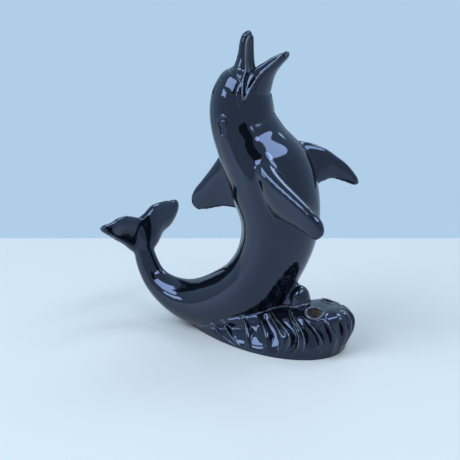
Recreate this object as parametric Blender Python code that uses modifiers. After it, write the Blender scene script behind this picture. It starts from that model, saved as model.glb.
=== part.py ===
"""Ceramic dolphin figurine: a dolphin rising out of a fluted wave, slip-cast as one piece.

Metres, +Z up. The origin is the centre of the flat underside, +X runs from the tail to the
belly, and the dolphin's mid-plane is the XZ plane. The dolphin's own form is written in
hundredths of its height, measured from the foot of the wave under its chest, and the wave's
sizes are lengths of their own.
"""

import math

import bmesh
import bpy
import numpy as np
from mathutils import Matrix, Vector

# Driving dimensions, in metres
FIGURE_HEIGHT = 0.1524
WAVE_LENGTH = 0.0845
WAVE_WIDTH = 0.045
WAVE_HEIGHT = 0.0232
WAVE_OVERHANG = 0.0078
BAND_HEIGHT = 0.0032
FOOT_SINK = 0.002
FLUTE_DEPTH = 0.0014
SPLASH_HEIGHT = 0.0325
SPLASH_RADIUS = 0.0048
HOLE_DIAMETER = 0.0086
HOLE_DEPTH = 0.012
HOLE_SPACING = 0.0184
HOLE_FROM_HEAD = 0.0185

# Fineness of the fused surface
VOXEL_SIZE = 0.0008
SMOOTHING_ROUNDS = 4
TRIANGLE_BUDGET = 8400

# The dolphin stands this share of its height behind the wave's middle
FIGURE_SETBACK = 7.7

# Spine from the tail to the crown, in hundredths of the height: x, z, half depth, half width
# and how much the back is pinched to a keel
SPINE = (
    (-54.3, 31.8, 1.8, 1.8, 0.0),
    (-53.3, 22.7, 3.6, 3.4, 0.25),
    (-49.1, 14.2, 4.4, 4.3, 0.3),
    (-38.0, 8.7, 6.9, 6.7, 0.25),
    (-29.4, 8.7, 8.8, 8.6, 0.15),
    (-20.3, 11.9, 10.1, 10.1, 0.05),
    (-11.8, 17.4, 11.1, 11.2, 0.0),
    (-6.4, 25.4, 11.1, 11.3, 0.0),
    (-2.3, 40.0, 12.6, 12.6, 0.0),
    (-5.6, 54.1, 13.8, 13.7, 0.0),
    (-12.7, 65.1, 11.3, 11.8, 0.0),
    (-15.6, 71.2, 10.4, 10.7, 0.0),
    (-16.2, 76.9, 10.2, 9.8, 0.0),
    (-16.1, 82.0, 9.0, 8.8, 0.0),
    (-16.0, 85.8, 6.8, 7.0, 0.0),
    (-15.7, 89.0, 3.9, 4.2, 0.0),
)
# Beak halves and the mouth's lining, from inside the head to the tip: x, z, depth towards the
# back, depth towards the belly, half width
UPPER_BEAK = (
    (-15.0, 79.0, 5.0, 2.2, 6.6),
    (-14.6, 86.0, 4.6, 1.8, 4.9),
    (-14.0, 92.0, 3.5, 1.6, 3.3),
    (-13.9, 97.0, 2.7, 1.4, 2.6),
    (-13.7, 100.4, 1.7, 1.1, 1.8),
)
LOWER_JAW = (
    (-13.5, 74.0, 5.6, 4.4, 8.0),
    (-10.2, 82.5, 4.4, 3.8, 5.6),
    (-6.5, 88.0, 3.2, 2.0, 3.8),
    (-2.8, 91.8, 2.2, 1.3, 2.5),
    (-0.1, 94.0, 1.4, 0.9, 1.6),
)
# Open mouth seen from the side: down the palate to the corner and up along the jaw, x and z
MOUTH_OUTLINE = (
    (-11.0, 103.0), (-13.2, 97.0), (-13.5, 92.0), (-13.2, 88.5), (-12.3, 84.8), (-11.5, 79.6),
    (-10.9, 79.6), (-9.4, 84.6), (-8.2, 87.0), (-5.9, 89.4), (-2.6, 92.1), (0.6, 94.6), (4.0, 102.0),
)
LINING = (
    (-11.6, 80.0, 2.5, 2.2, 5.2),
    (-9.6, 85.5, 3.4, 2.6, 4.6),
    (-7.9, 88.4, 2.6, 2.4, 3.2),
    (-6.3, 90.0, 1.6, 2.2, 2.6),
    (-4.4, 91.5, 1.5, 2.0, 2.0),
    (-2.4, 92.7, 1.1, 1.5, 1.4),
    (-0.5, 93.4, 0.9, 1.2, 1.2),
)
EYE = (-17.3, 10.1, 71.8)
EYE_SIZE = (1.7, 1.5, 2.6)

# Curl of water from its foot to its top: x, share of its height, shares of its radius in
# depth and in width
SPLASH_SHAPE = ((5.8, 0.45, 1.0, 1.3), (5.2, 0.75, 1.0, 1.15), (4.4, 0.94, 0.8, 0.9))
SPLASH_WEB = ((3.6, 0.3, 1.5, 1.2), (3.0, 0.6, 1.3, 1.0), (2.2, 0.88, 1.1, 0.7))

# Fins as a front and a rear edge from root to tip, x, y and z, then root and tip thickness
DORSAL_FRONT = ((-22.0, 0, 62.5), (-28.1, 0, 53.9), (-31.4, 0, 49.8), (-33.7, 0, 46.9), (-34.8, 0, 44.2))
DORSAL_REAR = ((-14.5, 0, 42.0), (-21.8, 0, 42.6), (-29.7, 0, 40.6), (-32.6, 0, 40.3), (-34.4, 0, 41.6))
DORSAL_THICKNESS = (6.0, 2.6)
NEAR_FRONT = (
    (-5.5, -8.0, 64.0), (-1.6, -11.8, 61.7), (4.5, -13.8, 57.5),
    (10.4, -15.7, 54.0), (15.7, -17.1, 50.7), (19.8, -18.0, 47.4), (21.4, -18.4, 44.6),
)
NEAR_REAR = (
    (-1.0, -9.0, 45.5), (2.5, -12.0, 45.0), (5.3, -13.8, 44.8),
    (10.6, -15.7, 43.8), (14.9, -17.1, 42.4), (18.2, -18.2, 41.4), (20.4, -18.6, 42.2),
)
NEAR_THICKNESS = (5.0, 2.8)
FAR_FRONT = (
    (-6.0, 6.0, 65.5), (-0.7, 9.2, 65.1), (3.7, 11.2, 64.2), (7.3, 13.1, 62.5),
    (9.6, 15.1, 60.4), (13.8, 17.1, 56.6), (16.5, 18.4, 52.6), (17.2, 18.6, 51.4),
)
FAR_REAR = (
    (-1.0, 5.0, 49.5), (4.0, 8.0, 50.0), (7.0, 10.2, 51.6), (9.4, 13.8, 52.4),
    (11.4, 15.7, 51.6), (14.0, 17.7, 50.4), (16.0, 18.5, 50.0), (16.8, 18.6, 50.6),
)
FAR_THICKNESS = (4.6, 2.6)
NEAR_FLUKE_FRONT = (
    (-55.5, 3.0, 21.0), (-57.1, -2.6, 23.2), (-57.5, -5.9, 25.9),
    (-58.0, -10.5, 28.8), (-57.9, -15.7, 32.0), (-58.7, -19.0, 34.3),
)
NEAR_FLUKE_REAR = (
    (-53.0, 4.0, 34.0), (-54.5, 0.0, 34.8), (-56.1, -5.9, 36.7),
    (-56.9, -9.8, 36.9), (-57.1, -13.1, 36.2), (-58.6, -18.8, 35.9),
)
FAR_FLUKE_FRONT = (
    (-53.0, -3.0, 22.0), (-51.0, 2.6, 23.9), (-51.0, 7.9, 27.6),
    (-50.3, 13.1, 29.8), (-50.4, 17.7, 33.9), (-51.2, 19.2, 36.3),
)
FAR_FLUKE_REAR = (
    (-56.0, -2.0, 34.0), (-54.4, 2.0, 36.0), (-53.9, 5.5, 37.8),
    (-53.2, 10.5, 38.2), (-52.6, 15.0, 37.7), (-52.0, 19.0, 37.4),
)
FLUKE_THICKNESS = (5.4, 2.6)
FRONT_FULLNESS = 0.35

# Flutes, from the wave's tip to the middle of its head: the rear edge and the front edge of
# each hollow, as shares of the way round at the foot, a third up, two thirds up and the crown
FLUTES = (
    ((0.42, 0.1, 0.04, 0.03), (0.44, 0.2, 0.12, 0.1)),
    ((0.445, 0.22, 0.14, 0.12), (0.455, 0.33, 0.26, 0.2)),
    ((0.46, 0.35, 0.28, 0.22), (0.465, 0.45, 0.415, 0.304)),
    ((0.502, 0.481, 0.437, 0.37), (0.563, 0.552, 0.504, 0.421)),
    ((0.588, 0.585, 0.542, 0.458), (0.638, 0.632, 0.58, 0.482)),
    ((0.682, 0.686, 0.626, 0.497), (0.714, 0.71, 0.667, 0.591)),
    ((0.765, 0.748, 0.694, 0.597), (0.819, 0.8, 0.739, 0.637)),
    ((0.846, 0.827, 0.761, 0.649), (0.893, 0.863, 0.823, 0.773)),
    ((0.925, 0.902, 0.857, 0.8), (0.961, 0.943, 0.912, 0.866)),
    ((0.985, 0.978, 0.955, 0.955), (0.995, 0.995, 0.995, 0.99)),
)
# How full each hollow is across and from the band to the crown, and where the first ones fade
FLUTE_FULLNESS = 0.7
FLUTE_SCOOP = 0.6
FLUTE_TIP_FADE = 0.2
# Footprint: how it widens from the tip, how bluntly it closes at the head
TIP_TAPER = 0.9
HEAD_ROUNDNESS = 0.45
# Wall: how square its section is at each share of the length, where the head's section turns
# round, as a share of the length, and how the overhang grows with height
WALL_SQUARENESS = ((0.0, 3.0), (0.15, 2.6), (0.3, 2.1), (0.5, 2.0), (0.7, 2.4), (0.8, 2.9), (1.0, 3.1))
HEAD_CENTRE = 0.84
OVERHANG_START = 0.4
OVERHANG_FULL = 0.95
OVERHANG_CURVE = 1.3
# The wave's back: share of its length from the tip, share of its height
WAVE_BACK = (
    (0.0, 0.3), (0.1, 0.6), (0.2, 0.78), (0.35, 0.83), (0.6, 0.84), (0.7, 0.92), (0.77, 0.97),
    (0.86, 0.93), (1.0, 0.92),
)

GLAZE_COLOUR = (0.012, 0.013, 0.017, 1.0)
GLAZE_ROUGHNESS = 0.08


def clear_scene():
    for old in list(bpy.data.objects):
        bpy.data.objects.remove(old, do_unlink=True)


def new_collection(name):
    collection = bpy.data.collections.new(name)
    bpy.context.scene.collection.children.link(collection)
    return collection


def smooth_curve(points, count):
    """Rows spread evenly along a smooth curve through the given rows."""
    rows = np.array(points, float)
    places = rows[:, :3] if rows.shape[1] == 3 else rows[:, :2]
    steps = np.linalg.norm(np.diff(places, axis=0), axis=1)
    knots = np.concatenate([[0.0], np.cumsum(steps)])
    slopes = np.gradient(rows, knots, axis=0)
    along = np.linspace(0.0, knots[-1], count)
    first = np.clip(np.searchsorted(knots, along, side="right") - 1, 0, len(rows) - 2)
    span = (knots[first + 1] - knots[first])[:, None]
    t = (along - knots[first])[:, None] / span
    start = (1 + 2 * t) * (1 - t) ** 2 * rows[first] + t * (1 - t) ** 2 * span * slopes[first]
    end = t * t * (3 - 2 * t) * rows[first + 1] + t * t * (t - 1) * span * slopes[first + 1]
    return start + end


def loft(mesh, rings):
    """Skin a row of equal rings and close both ends with a fan."""
    sides = len(rings[0])
    layers = [[mesh.verts.new(point) for point in ring] for ring in rings]
    for lower, upper in zip(layers, layers[1:]):
        for i in range(sides):
            j = (i + 1) % sides
            mesh.faces.new((lower[i], lower[j], upper[j], upper[i]))
    for layer, turn in ((layers[0], -1), (layers[-1], 1)):
        middle = sum((v.co for v in layer), Vector()) / sides
        tip = mesh.verts.new(middle)
        for i in range(sides):
            pair = (layer[i], layer[(i + 1) % sides])[::turn]
            mesh.faces.new((pair[0], pair[1], tip))


def figure_point(x, y, z):
    """A point of the dolphin, from hundredths of its height to metres."""
    unit = FIGURE_HEIGHT / 100
    return np.array(((x + FIGURE_SETBACK) * unit, y * unit, z * unit))


def end_rounding(count, share):
    """How much each ring keeps of its size, so that both ends close as a dome."""
    place = np.linspace(0.0, 1.0, count)
    from_end = np.clip(np.minimum(place, 1 - place) / share, 0.0, 1.0)
    return np.sqrt(1 - (1 - from_end) ** 2).clip(0.08)


def spine_loft(mesh, stations, back_side, belly_side, width, keel, sides=40, count=120, share=0.02):
    """Sweep an oval section along a spine that lies in the mid-plane."""
    unit = FIGURE_HEIGHT / 100
    rows = smooth_curve(stations, count)
    way = np.gradient(rows[:, :2], axis=0)
    way /= np.linalg.norm(way, axis=1)[:, None]
    size = end_rounding(count, share)
    rings = []
    for row, (tx, tz), keep in zip(rows, way, size):
        centre = figure_point(row[0], 0.0, row[1])
        belly = np.array((tz, 0.0, -tx))
        ring = []
        for i in range(sides):
            angle = 2 * math.pi * i / sides
            across, out = math.cos(angle), math.sin(angle)
            depth = row[belly_side] if out > 0 else row[back_side]
            pinch = 1 - row[keel] * out * out if keel and out < 0 else 1.0
            offset = belly * depth * out + np.array((0.0, 1.0, 0.0)) * row[width] * pinch * across
            ring.append(centre + offset * unit * keep)
        rings.append(ring)
    loft(mesh, rings)


def blade(mesh, front, rear, thickness, sides=24, count=40):
    """A fin between a front and a rear edge, thicker towards its front edge."""
    unit = FIGURE_HEIGHT / 100
    fronts = smooth_curve(front, count)
    rears = smooth_curve(rear, count)
    middle = (fronts + rears) / 2
    span = np.gradient(middle, axis=0)
    chord = rears - fronts
    normal = np.cross(chord, span)
    normal /= np.linalg.norm(normal, axis=1)[:, None]
    heights = np.linspace(thickness[0], thickness[1], count)
    size = end_rounding(count, 0.08)
    rings = []
    for i in range(count):
        ring = []
        for k in range(sides):
            angle = 2 * math.pi * k / sides
            along = -math.cos(angle) / 2
            bulge = math.sin(angle) * (1 - FRONT_FULLNESS * along)
            offset = chord[i] * along + normal[i] * heights[i] / 2 * bulge
            ring.append(figure_point(*(middle[i] + offset * size[i])))
        rings.append(ring)
    loft(mesh, rings)


def wave_half_width(place):
    """Half width of the teardrop footprint at a share of its length from the tip."""
    peak = TIP_TAPER / (TIP_TAPER + HEAD_ROUNDNESS)
    rise = (place / peak) ** TIP_TAPER
    fall = ((1 - place) / (1 - peak)) ** HEAD_ROUNDNESS
    return WAVE_WIDTH / 2 * rise * fall


def wave_crest(place):
    """Height of the wave's back at a share of its length from the tip."""
    shares, heights = smooth_curve(WAVE_BACK, 200).T
    return WAVE_HEIGHT * np.interp(place, shares, heights)


def hollow_shares(way_round, height):
    """Depth share of the flutes along one level, zero on the ribs between them."""
    thirds = (0.0, 1 / 3, 2 / 3, 1.0)
    shares = np.zeros(len(way_round))
    for flute in FLUTES:
        low, high = [float(np.polyval(np.polyfit(thirds, edge, 3), height)) for edge in flute]
        across = np.clip((way_round - low) / (high - low), 0.0, 1.0)
        shares = np.maximum(shares, np.sin(math.pi * across).clip(0.0) ** FLUTE_FULLNESS)
    return shares


def wave_half(around, levels):
    """Points of one side of the fluted wave, level by level."""
    places = (1 - np.cos(np.linspace(0.0, math.pi, around + 1))) / 2
    widths = wave_half_width(places)
    steps = np.hypot(np.diff(places) * WAVE_LENGTH, np.diff(widths))
    way_round = np.concatenate([[0.0], np.cumsum(steps)])
    way_round /= way_round[-1]
    anchors = np.minimum(places, HEAD_CENTRE)
    power = 2 / np.interp(places, *zip(*WALL_SQUARENESS))
    forward = WAVE_OVERHANG * np.clip((places - OVERHANG_START) / (1 - OVERHANG_START), 0.0, 1.0)
    points = []
    depths = []
    for level in range(levels + 1):
        turn = level / levels * math.pi / 2
        rise = math.sin(turn) ** power
        inset = max(math.cos(turn), 0.0) ** power
        share = np.minimum(rise / OVERHANG_FULL, 1.0)
        lean = forward * np.sin(share * math.pi / 2) ** OVERHANG_CURVE
        x = (anchors + (places - anchors) * inset - 0.5) * WAVE_LENGTH + lean
        z = wave_crest(anchors) * rise
        points.append(np.stack([x, widths * inset, z], axis=1))
        over_band = np.clip((z - BAND_HEIGHT) / (wave_crest(anchors) - BAND_HEIGHT), 0.0, 1.0)
        scoop = np.sin(math.pi * over_band).clip(0.0) ** FLUTE_SCOOP
        near_tip = np.minimum(1.0, places / FLUTE_TIP_FADE)
        depths.append(hollow_shares(way_round, math.sin(turn)) * scoop * near_tip)
    points = np.array(points)
    out = np.cross(np.gradient(points, axis=0), np.gradient(points, axis=1))
    out /= np.linalg.norm(out, axis=2)[:, :, None] + 1e-12
    return points - out * (FLUTE_DEPTH * np.array(depths))[:, :, None]


def wave(mesh, around=200, levels=36):
    """The fluted wave: a teardrop footprint under a rounded, forward-leaning wall."""
    points = wave_half(around, levels)
    foot = points[:1] - (0.0, 0.0, FOOT_SINK)
    rings = []
    for half in np.concatenate([foot, points]):
        near = half[-2:0:-1] * (1, -1, 1)
        rings.append(np.concatenate([half, near]))
    loft(mesh, rings)


def splash(mesh):
    """The small curl of water and the web that joins it to the belly."""
    hundredths = 100 / FIGURE_HEIGHT
    radius = SPLASH_RADIUS * hundredths
    top = SPLASH_HEIGHT * hundredths
    for shape in (SPLASH_SHAPE, SPLASH_WEB):
        stations = [(x, top * rise, radius * deep, radius * wide) for x, rise, deep, wide in shape]
        spine_loft(mesh, stations, 2, 2, 3, 0, sides=20, count=16, share=0.3)


def eyes(mesh):
    """A small swelling on each side of the head."""
    unit = FIGURE_HEIGHT / 100
    for side in (-1, 1):
        place = Vector(figure_point(EYE[0], side * EYE[1], EYE[2]))
        ball = bmesh.ops.create_uvsphere(mesh, u_segments=16, v_segments=10, radius=unit)
        bmesh.ops.scale(mesh, vec=EYE_SIZE, verts=ball["verts"])
        bmesh.ops.translate(mesh, vec=place, verts=ball["verts"])


def make_object(collection, name, build):
    mesh = bmesh.new()
    build(mesh)
    bmesh.ops.recalc_face_normals(mesh, faces=mesh.faces)
    data = bpy.data.meshes.new(name)
    mesh.to_mesh(data)
    mesh.free()
    item = bpy.data.objects.new(name, data)
    collection.objects.link(item)
    return item


def apply_modifiers(item):
    """Turn the modifiers on an object into its mesh."""
    graph = bpy.context.evaluated_depsgraph_get()
    data = bpy.data.meshes.new_from_object(item.evaluated_get(graph))
    item.modifiers.clear()
    item.data = data


def all_forms(mesh):
    """Every form of the figure, overlapping where one grows out of another."""
    spine_loft(mesh, SPINE, 2, 2, 3, 4)
    spine_loft(mesh, UPPER_BEAK, 2, 3, 4, 0, sides=28, count=40, share=0.12)
    spine_loft(mesh, LOWER_JAW, 2, 3, 4, 0, sides=28, count=40, share=0.12)
    blade(mesh, DORSAL_FRONT, DORSAL_REAR, DORSAL_THICKNESS)
    blade(mesh, NEAR_FRONT, NEAR_REAR, NEAR_THICKNESS)
    blade(mesh, FAR_FRONT, FAR_REAR, FAR_THICKNESS)
    blade(mesh, NEAR_FLUKE_FRONT, NEAR_FLUKE_REAR, FLUKE_THICKNESS)
    blade(mesh, FAR_FLUKE_FRONT, FAR_FLUKE_REAR, FLUKE_THICKNESS)
    eyes(mesh)
    wave(mesh)
    splash(mesh)


def add_remesh(figure):
    remesh = figure.modifiers.new("fused skin", "REMESH")
    remesh.mode = "VOXEL"
    remesh.voxel_size = VOXEL_SIZE


def fuse(figure, cutters):
    """Melt the overlapping forms into one skin, open the mouth and line it."""
    add_remesh(figure)
    cut(figure, cutters, "mouth_cut", mouth_cutter)
    apply_modifiers(figure)
    skin = bmesh.new()
    skin.from_mesh(figure.data)
    spine_loft(skin, LINING, 2, 3, 4, 0, sides=24, count=30, share=0.12)
    skin.to_mesh(figure.data)
    skin.free()
    add_remesh(figure)
    smooth = figure.modifiers.new("softened joins", "SMOOTH")
    smooth.iterations = SMOOTHING_ROUNDS
    apply_modifiers(figure)


def thin_out(figure):
    """Reduce the skin to its triangle budget."""
    triangles = sum(len(face.vertices) - 2 for face in figure.data.polygons)
    thin = figure.modifiers.new("facets", "DECIMATE")
    thin.ratio = TRIANGLE_BUDGET / triangles
    thin.use_collapse_triangulate = True
    apply_modifiers(figure)


def floor_cutter(mesh):
    """A slab that cuts the underside flat at z = 0."""
    slab = bmesh.ops.create_cube(mesh, size=1.0)
    bmesh.ops.scale(mesh, vec=(FIGURE_HEIGHT * 3, FIGURE_HEIGHT * 3, WAVE_HEIGHT), verts=slab["verts"])
    bmesh.ops.translate(mesh, vec=(0.0, 0.0, -WAVE_HEIGHT / 2), verts=slab["verts"])


def mouth_cutter(mesh):
    """The open mouth: its side outline carried across the whole head."""
    half_span = FIGURE_HEIGHT / 2
    sides = [[mesh.verts.new(figure_point(x, 0.0, z)) for x, z in MOUTH_OUTLINE] for _ in range(2)]
    for side, shift in zip(sides, (-half_span, half_span)):
        for vert in side:
            vert.co.y = shift
        mesh.faces.new(side)
    count = len(MOUTH_OUTLINE)
    for i in range(count):
        j = (i + 1) % count
        mesh.faces.new((sides[0][i], sides[0][j], sides[1][j], sides[1][i]))


def hole_cutter(side):
    """A vertical blind hole through the wave's shoulder."""
    def build(mesh):
        x = WAVE_LENGTH / 2 + WAVE_OVERHANG - HOLE_FROM_HEAD
        top = WAVE_HEIGHT * 1.2
        bottom = wave_crest(HEAD_CENTRE) - HOLE_DEPTH
        move = Matrix.Translation((x, side * HOLE_SPACING / 2, (top + bottom) / 2))
        bmesh.ops.create_cone(
            mesh, cap_ends=True, segments=32, radius1=HOLE_DIAMETER / 2,
            radius2=HOLE_DIAMETER / 2, depth=top - bottom, matrix=move,
        )
    return build


def cut(figure, cutters, name, build):
    cutter = make_object(cutters, name, build)
    cutter.hide_render = True
    cutter.display_type = "WIRE"
    boolean = figure.modifiers.new(name, "BOOLEAN")
    boolean.operation = "DIFFERENCE"
    boolean.solver = "EXACT"
    boolean.object = cutter


def black_glaze():
    material = bpy.data.materials.new("black_glaze")
    material.use_nodes = True
    shader = material.node_tree.nodes["Principled BSDF"]
    shader.inputs["Base Color"].default_value = GLAZE_COLOUR
    shader.inputs["Roughness"].default_value = GLAZE_ROUGHNESS
    shader.inputs["Metallic"].default_value = 0.0
    material.diffuse_color = GLAZE_COLOUR
    return material


def build_figurine():
    clear_scene()
    parts = new_collection("ceramic dolphin figurine")
    cutters = new_collection("cutters")
    figure = make_object(parts, "dolphin_figurine", all_forms)
    fuse(figure, cutters)
    thin_out(figure)
    cut(figure, cutters, "floor_cut", floor_cutter)
    cut(figure, cutters, "near_hole_cut", hole_cutter(-1))
    cut(figure, cutters, "far_hole_cut", hole_cutter(1))
    figure.data.materials.clear()
    figure.data.materials.append(black_glaze())
    figure.data.shade_smooth()


build_figurine()
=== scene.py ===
"""Looks of the ceramic dolphin figurine: its glazed skin with the fine carving, a pale floor,
soft studio light and the camera.

Metres, +Z up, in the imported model's frame: the origin is the centre of the wave's underside,
+X runs from the tail to the belly. The dolphin's forms are in hundredths of its height.
"""

import math

import bmesh
import bpy
import numpy as np
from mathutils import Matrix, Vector
from mathutils.bvhtree import BVHTree


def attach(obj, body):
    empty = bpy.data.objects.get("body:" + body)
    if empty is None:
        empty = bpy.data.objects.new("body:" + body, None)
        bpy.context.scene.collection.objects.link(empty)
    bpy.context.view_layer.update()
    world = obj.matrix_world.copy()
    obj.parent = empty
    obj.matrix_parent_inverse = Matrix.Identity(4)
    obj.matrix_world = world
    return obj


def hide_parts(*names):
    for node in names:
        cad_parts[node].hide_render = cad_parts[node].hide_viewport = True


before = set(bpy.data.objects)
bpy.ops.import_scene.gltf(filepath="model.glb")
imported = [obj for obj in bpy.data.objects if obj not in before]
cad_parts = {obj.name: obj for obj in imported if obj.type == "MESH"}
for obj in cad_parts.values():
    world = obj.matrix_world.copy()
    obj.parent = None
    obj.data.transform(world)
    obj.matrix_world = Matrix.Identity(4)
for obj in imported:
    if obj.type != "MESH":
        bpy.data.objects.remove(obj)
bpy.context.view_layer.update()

# Driving dimensions, in metres
FIGURE_HEIGHT = 0.1524
WAVE_LENGTH = 0.0845
WAVE_WIDTH = 0.045
WAVE_HEIGHT = 0.0232
WAVE_OVERHANG = 0.0069
BAND_HEIGHT = 0.0032
FOOT_SINK = 0.002
RIM_WIDTH = 0.0014
SPLASH_HEIGHT = 0.0325
SPLASH_RADIUS = 0.0048
HOLE_DIAMETER = 0.0086
HOLE_DEPTH = 0.012
HOLE_SPACING = 0.0184
HOLE_FROM_HEAD = 0.0176
ABOVE_WAVE = WAVE_HEIGHT * 1.2
GROUND_WIDTH = FIGURE_HEIGHT * 3

# Flutes in metres: their depth, the width of a hollow's shoulder, the height of the ribs between
# them, the widest rib that is still raised in full, and how far from a hole they fade
FLUTE_DEPTH = 0.0032
FLUTE_SHOULDER = 0.0011
RIB_HEIGHT = 0.0005
WIDEST_RIB = 0.004
HOLE_SHOULDER = 0.0016

# Fineness of the skin: sizes and reaches in metres, the height in hundredths above which the
# head is finer, and counts
VOXEL_SIZE = 0.00096
WELD_DISTANCE = 0.00004
WAVE_WELD_DISTANCE = 0.000001
COLUMN_SPACING = 0.00036
LEAST_COLUMNS = 6
WAVE_LEVELS = 56
WAVE_WAY_STEPS = 2001
WAVE_BACK_STEPS = 200
FINE_HEAD_FROM = 76.0
FINE_CREASE_REACH = 0.0015
HEAD_PATH_STEPS = 120
MOUTH_STEPS = 150
MOUTH_COLUMNS = 61
FIN_SIDES = 40
FIN_RINGS = 80
BEAD_SIDES = 12
HOLE_SIDES = 48
HOLE_RIM_STEPS = 90

# Rounds of smoothing, of the skin and of lines that lie on it
BODY_SMOOTHING = 8
HEAD_SMOOTHING = 4
RIM_SMOOTHING = 3
CREASE_SMOOTHING = 4
RIM_LINE_SMOOTHING = 12
CREST_SMOOTHING = 10
CREST_LINE_SMOOTHING = 30
EDGE_SMOOTHING = 2

# Angles, in radians, above which an edge is a crease to round, and above which it shades sharp
CREASE_ANGLE = 0.7
SHARP_ANGLE = math.radians(50)

# Share of a form's length over which its ends close as a dome, and the smallest ring there
FIN_END = 0.08
BEAD_END = 0.04
SMALLEST_RING = 0.08

# How far ahead of the wave's middle the dolphin's zero is, in hundredths of its height
FIGURE_SETBACK = 7.7

# Spine from the tail to the crown, in hundredths of the height: x, z, half depth, half width
# and how much the back is pinched to a keel
SPINE = (
    (-54.3, 31.8, 1.8, 1.8, 0.0),
    (-53.3, 22.7, 3.6, 3.4, 0.25),
    (-49.1, 14.2, 4.4, 4.3, 0.3),
    (-38.0, 8.7, 6.9, 6.7, 0.25),
    (-29.4, 8.7, 8.8, 8.6, 0.15),
    (-20.3, 11.9, 10.1, 10.1, 0.05),
    (-11.8, 17.4, 11.1, 11.2, 0.0),
    (-6.4, 25.4, 11.1, 11.3, 0.0),
    (-2.3, 40.0, 12.6, 12.6, 0.0),
    (-5.6, 54.1, 13.8, 13.7, 0.0),
    (-12.7, 65.1, 11.3, 11.8, 0.0),
    (-15.6, 71.2, 10.4, 10.7, 0.0),
    (-16.2, 76.9, 10.2, 9.8, 0.0),
    (-16.1, 82.0, 9.0, 8.8, 0.0),
    (-16.0, 85.8, 6.8, 7.0, 0.0),
    (-15.7, 89.0, 3.9, 4.2, 0.0),
)
# Beak halves, the web at the throat and the pad in the jaw, from inside the head to the tip: x,
# z, depth towards the back, depth towards the belly, half width
UPPER_BEAK = (
    (-15.0, 79.0, 5.0, 2.2, 6.3),
    (-14.6, 86.0, 4.6, 1.8, 4.3),
    (-14.0, 92.0, 3.5, 1.6, 3.05),
    (-13.9, 97.0, 2.7, 1.4, 2.6),
    (-13.7, 100.33, 1.8, 1.4, 2.0),
)
LOWER_JAW = (
    (-13.5, 74.0, 5.6, 4.4, 8.0),
    (-10.2, 82.5, 4.4, 3.8, 5.6),
    (-6.5, 88.0, 3.2, 2.0, 3.8),
    (-2.8, 91.8, 2.2, 1.5, 2.6),
    (0.3, 94.3, 1.5, 1.2, 1.9),
)
THROAT_WEB = (
    (-11.6, 79.0, 2.5, 2.2, 7.7),
    (-11.1, 82.5, 3.0, 2.4, 6.4),
    (-10.4, 85.5, 3.2, 2.6, 4.9),
    (-9.2, 87.8, 2.4, 2.4, 3.4),
)
JAW_PAD = (
    (-10.2, 84.5, 2.4, 2.6, 4.6),
    (-8.6, 87.6, 2.2, 2.4, 3.7),
    (-6.4, 89.6, 1.7, 2.2, 2.9),
    (-4.2, 91.3, 1.5, 2.0, 2.2),
    (-2.2, 92.7, 1.1, 1.5, 1.6),
    (-0.9, 93.8, 0.8, 1.2, 1.2),
)
THROAT_WEB_SQUARENESS = 2.2
JAW_PAD_SQUARENESS = 4.0
# Trough along the beak's palate: depth, half width at the throat and the tip, the heights where
# it starts and ends, and the height over which it deepens
TROUGH_DEPTH = 0.8
TROUGH_HALF_WIDTH = (2.8, 1.2)
TROUGH_FROM = 86.0
TROUGH_TO = 99.0
TROUGH_RAMP = 3
# Open mouth seen from the side: down the palate to the corner and up along the jaw, x and z,
# and half the width that is cut
PALATE = (
    (-9.6, 104.0), (-12.3, 101.0), (-13.2, 98.0), (-13.5, 93.0), (-13.2, 88.5),
    (-12.5, 84.8), (-12.0, 82.0), (-11.6, 80.0), (-11.3, 79.4),
)
JAW_LINE = (
    (-11.0, 80.0), (-10.4, 82.2), (-9.5, 84.6), (-8.2, 86.9), (-5.9, 89.3),
    (-3.4, 91.6), (-1.7, 93.6), (-0.6, 96.0), (1.0, 102.0),
)
MOUTH_REACH = 13.0

# Curl of water from its foot to its top: x, share of its height, shares of its radius in
# depth and in width
SPLASH_SHAPE = ((5.8, 0.45, 1.0, 1.3), (5.2, 0.75, 1.0, 1.15), (4.4, 0.94, 0.8, 0.9))
SPLASH_WEB = ((3.6, 0.3, 1.5, 1.2), (3.0, 0.6, 1.3, 1.0), (2.2, 0.88, 1.1, 0.7))

# Fins as a front and a rear edge from root to tip, x, y and z, then root and tip thickness, and
# how blunt the near fin's front edge is
DORSAL_FRONT = (
    (-22.0, 0, 62.5), (-28.1, 0, 53.9), (-31.4, 0, 49.8), (-33.7, 0, 46.9), (-34.8, 0, 44.2),
)
DORSAL_REAR = (
    (-14.5, 0, 42.0), (-21.8, 0, 42.6), (-29.7, 0, 40.6), (-32.6, 0, 40.3), (-34.4, 0, 41.6),
)
DORSAL_THICKNESS = (6.0, 2.6)
NEAR_FRONT = (
    (-5.5, -8.0, 64.0), (-1.6, -11.8, 61.7), (4.5, -13.8, 57.5),
    (10.4, -15.7, 54.0), (15.7, -17.1, 50.7), (19.8, -17.9, 47.4), (21.4, -18.22, 44.6),
)
NEAR_REAR = (
    (-1.0, -9.0, 45.5), (2.5, -12.0, 45.0), (5.3, -13.8, 44.8),
    (10.6, -15.7, 43.8), (14.9, -17.1, 42.4), (18.2, -18.1, 41.4), (20.4, -18.42, 42.2),
)
NEAR_THICKNESS = (6.8, 2.5)
NEAR_BLUNTNESS = 0.38
FAR_FRONT = (
    (-6.0, 6.0, 65.5), (-0.7, 9.2, 65.1), (3.7, 11.2, 64.2), (7.3, 13.1, 62.5),
    (9.6, 15.1, 60.4), (13.8, 17.1, 56.6), (16.5, 18.3, 52.6), (17.2, 18.47, 51.4),
)
FAR_REAR = (
    (-1.0, 5.0, 49.5), (4.0, 8.0, 50.0), (7.0, 10.2, 51.6), (9.4, 13.8, 52.4),
    (11.4, 15.7, 51.6), (14.0, 17.7, 50.4), (16.0, 18.4, 50.0), (16.8, 18.47, 50.6),
)
FAR_THICKNESS = (4.6, 2.6)
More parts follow.
